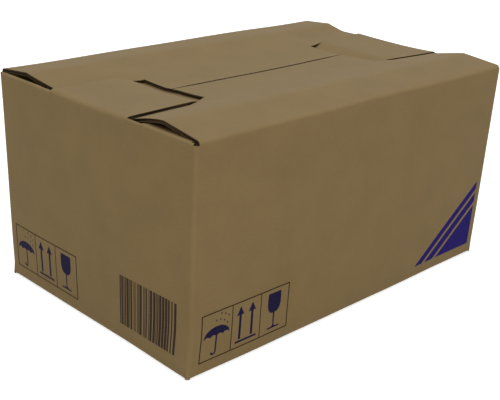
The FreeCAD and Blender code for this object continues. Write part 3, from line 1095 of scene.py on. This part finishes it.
# %% [markdown]
# ### Flexographic ink
#
# Flexographic ink is thin and water-based, and it soaks into the paper. It has no shine of its
# own, and the paper shows through it in tiny specks, so the colour looks a little worn and never
# black. Real specks are about 0.3 mm wide. They are drawn 1.5 mm wide so that they show. Noise on
# Object coordinates draws them, since the prints have no map of their own and never move.

# %% Inks
SPECK = 1.5 * MM


def flexo_ink(name, code):
    """A thin matt ink with specks of bare paper in it."""
    material = bpy.data.materials.new("flexo_ink_" + name)
    tree = empty_tree(material)
    here = add_node(tree, "ShaderNodeTexCoord").outputs["Object"]
    speck = add_node(tree, "ShaderNodeTexNoise", {"Vector": here, "Scale": 1 / SPECK,
                                                  "Detail": 3.0})
    bare = add_node(tree, "ShaderNodeMapRange",
                    {0: speck.outputs[0], 1: 0.5, 2: 0.8, 3: 0.0, 4: 0.15})
    colour = add_node(tree, "ShaderNodeMix", {0: bare.outputs[0], 6: linear(code),
                                              7: linear("#6d5b42")}, data_type="RGBA")
    shader = add_node(tree, "ShaderNodeBsdfPrincipled",
                      {"Base Color": colour.outputs[2], "Roughness": 0.7, "IOR": 1.5,
                       "Specular IOR Level": 0.1})
    add_node(tree, "ShaderNodeOutputMaterial", {"Surface": shader.outputs[0]})
    return material


sign_ink = flexo_ink("blue_black", "#0c0630")
line_ink = flexo_ink("brown", "#2a1a06")
bar_ink = flexo_ink("brown_black", "#32261f")
blue_ink = flexo_ink("blue", "#190a62")
print("inks:", sign_ink.name, line_ink.name, bar_ink.name, blue_ink.name)

# %% [markdown]
# ### Print the panels
#
# Each print is drawn with its lower left corner at the origin, apart from the triangle, which has
# its square corner there. It is then moved along its panel and up from the bottom edge. The signs
# on the end panel are printed a little narrower than those on the front.

# %% Print the panels
FRONT_SIGNS, END_SIGNS, END_STRETCH = (11.4, 12.0), (10.8, 13.5), 0.95
CORNER_AT, CORNER_SIZE = (390.0, 12.0), (94.0, 69.0)
BARS_AT, BARS_SIZE = (166.6, 16.0), (71.0, 46.0)
prints = [
    printed("front_sign_boxes", sign_boxes, "front", FRONT_SIGNS, line_ink),
    printed("front_signs", signs, "front", FRONT_SIGNS, sign_ink),
    printed("front_corner", corner_triangle, "front", CORNER_AT, blue_ink, CORNER_SIZE),
    printed("left_sign_boxes", sign_boxes, "left", END_SIGNS, line_ink, stretch=END_STRETCH),
    printed("left_signs", signs, "left", END_SIGNS, sign_ink, stretch=END_STRETCH),
    printed("left_bars", bars, "left", BARS_AT, bar_ink, BARS_SIZE),
]
print(len(prints), "prints")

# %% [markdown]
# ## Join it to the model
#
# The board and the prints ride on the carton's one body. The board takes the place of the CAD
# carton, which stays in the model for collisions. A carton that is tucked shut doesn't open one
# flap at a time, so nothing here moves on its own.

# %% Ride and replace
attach(carton, "root")
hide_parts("carton")
for piece in prints:
    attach(piece, "root")
print(1 + len(prints), "pieces ride on the root body")

# %% [markdown]
# ## Floor and light
#
# The carton stands on a pale, wide floor in a white studio. The white is there for the eye only:
# to rays that come from the camera, straight or by way of gloss or glass, the floor glows and the
# background is white. To all other rays they are dull, so they put no more light on the carton
# than a real studio would. The floor still takes the carton's shadow, because only part of its
# white is glow. It lies a hair under the carton, so that the two faces don't fight for the same
# place.

# %% Floor
FLOOR_RADIUS, FLOOR_GAP = 6.0, 0.2 * MM


def seen_by_eye(tree):
    """1 for rays from the camera, straight or by way of gloss or glass, and 0 for all others."""
    path = add_node(tree, "ShaderNodeLightPath").outputs
    gloss, glass_ray = path["Is Glossy Ray"], path["Is Transmission Ray"]
    by_way = add_node(tree, "ShaderNodeMath", {0: gloss, 1: glass_ray}, operation="MAXIMUM")
    seen = add_node(tree, "ShaderNodeMath", {0: path["Is Camera Ray"], 1: by_way.outputs[0]},
                    operation="MAXIMUM")
    return seen.outputs[0]


disc = bmesh.new()
bmesh.ops.create_circle(disc, cap_ends=True, segments=64, radius=FLOOR_RADIUS)
bmesh.ops.translate(disc, vec=(0, 0, -FLOOR_GAP), verts=disc.verts[:])
floor_mesh = bpy.data.meshes.new("floor")
disc.to_mesh(floor_mesh)
disc.free()
floor = bpy.data.objects.new("floor", floor_mesh)
bpy.context.scene.collection.objects.link(floor)
print("floor", 2 * FLOOR_RADIUS, "m across")

# %% Finish of the floor
pale_floor = bpy.data.materials.new("pale_studio_floor")
tree = empty_tree(pale_floor)
pale = add_node(tree, "ShaderNodeBsdfDiffuse", {"Color": linear("#f0f0f0")})
glow = add_node(tree, "ShaderNodeEmission", {"Color": (1, 1, 1, 1), "Strength": 0.55})
lit = add_node(tree, "ShaderNodeAddShader", {0: pale.outputs[0], 1: glow.outputs[0]})
dull = add_node(tree, "ShaderNodeBsdfDiffuse", {"Color": linear("#a8a39a")})
either = add_node(tree, "ShaderNodeMixShader", {0: seen_by_eye(tree), 1: dull.outputs[0],
                                                2: lit.outputs[0]})
add_node(tree, "ShaderNodeOutputMaterial", {"Surface": either.outputs[0]})
floor_mesh.materials.append(pale_floor)
print("finish of the floor:", pale_floor.name)

# %% Studio background
studio = bpy.data.worlds.new("studio")
bpy.context.scene.world = studio
tree = empty_tree(studio)
soft = add_node(tree, "ShaderNodeBackground", {"Color": (1, 1, 1, 1), "Strength": 0.8})
white = add_node(tree, "ShaderNodeBackground", {"Color": (1, 1, 1, 1), "Strength": 1.0})
either = add_node(tree, "ShaderNodeMixShader", {0: seen_by_eye(tree), 1: soft.outputs[0],
                                                2: white.outputs[0]})
add_node(tree, "ShaderNodeOutputWorld", {"Surface": either.outputs[0]})
print("background:", studio.name)

# %% [markdown]
# The light is that of a product table: a large softbox overhead, and another in front. Sun or
# point lamps would give the hard shadows of a bare bulb. Both boxes are big for their distance, so
# shadows are soft, and the top comes out a little lighter than the sides.

# %% Softboxes
def softbox(name, place, size, watts):
    """A square area lamp that faces the middle of the carton. Sizes in metres, light in watts."""
    lamp = bpy.data.lights.new(name, "AREA")
    lamp.shape = "SQUARE"
    lamp.size = size
    lamp.energy = watts
    holder = bpy.data.objects.new(name, lamp)
    bpy.context.scene.collection.objects.link(holder)
    holder.location = place
    facing = Vector((0, 0, LONG_HEIGHT * MM / 2)) - Vector(place)
    holder.rotation_euler = facing.to_track_quat("-Z", "Y").to_euler()
    print(name, "at", place)


softbox("overhead softbox", (0.2, 0.3, 1.8), 1.6, 3.0)
softbox("front softbox", (-1.0, -1.5, 0.8), 1.2, 8.0)

# %% [markdown]
# ## Camera
#
# The carton is seen over its near corner, from a little above. A camera could be aimed by eye.
# Here its place in metres, its lens and its three angles in degrees come from a fit of the
# carton's edges to the picture, so that every edge falls where it should. A small shift slides the
# frame over what the lens sees, until the carton sits in it as it should.

# %% Camera at the picture's viewing angle
CAMERA_AT = (-0.64032, -0.60761, 0.41161)
HEADING, DIP, ROLL = (math.radians(angle) for angle in (43.7609, -24.942, 3.0708))
camera_data = bpy.data.cameras.new("camera")
camera_data.sensor_width = 36.0
camera_data.lens = 69.315
camera_data.shift_y = 0.12
camera = bpy.data.objects.new("camera", camera_data)
bpy.context.scene.collection.objects.link(camera)
camera.location = CAMERA_AT
level = math.cos(DIP)
aim = Vector((math.cos(HEADING) * level, math.sin(HEADING) * level, math.sin(DIP)))
tilted = aim.to_track_quat("-Z", "Y").to_matrix() @ Matrix.Rotation(ROLL, 3, "Z")
camera.rotation_euler = tilted.to_euler()
bpy.context.scene.camera = camera
bpy.context.scene.view_settings.view_transform = "Standard"
print("camera", round(camera.location.length, 3), "m from the carton's middle")
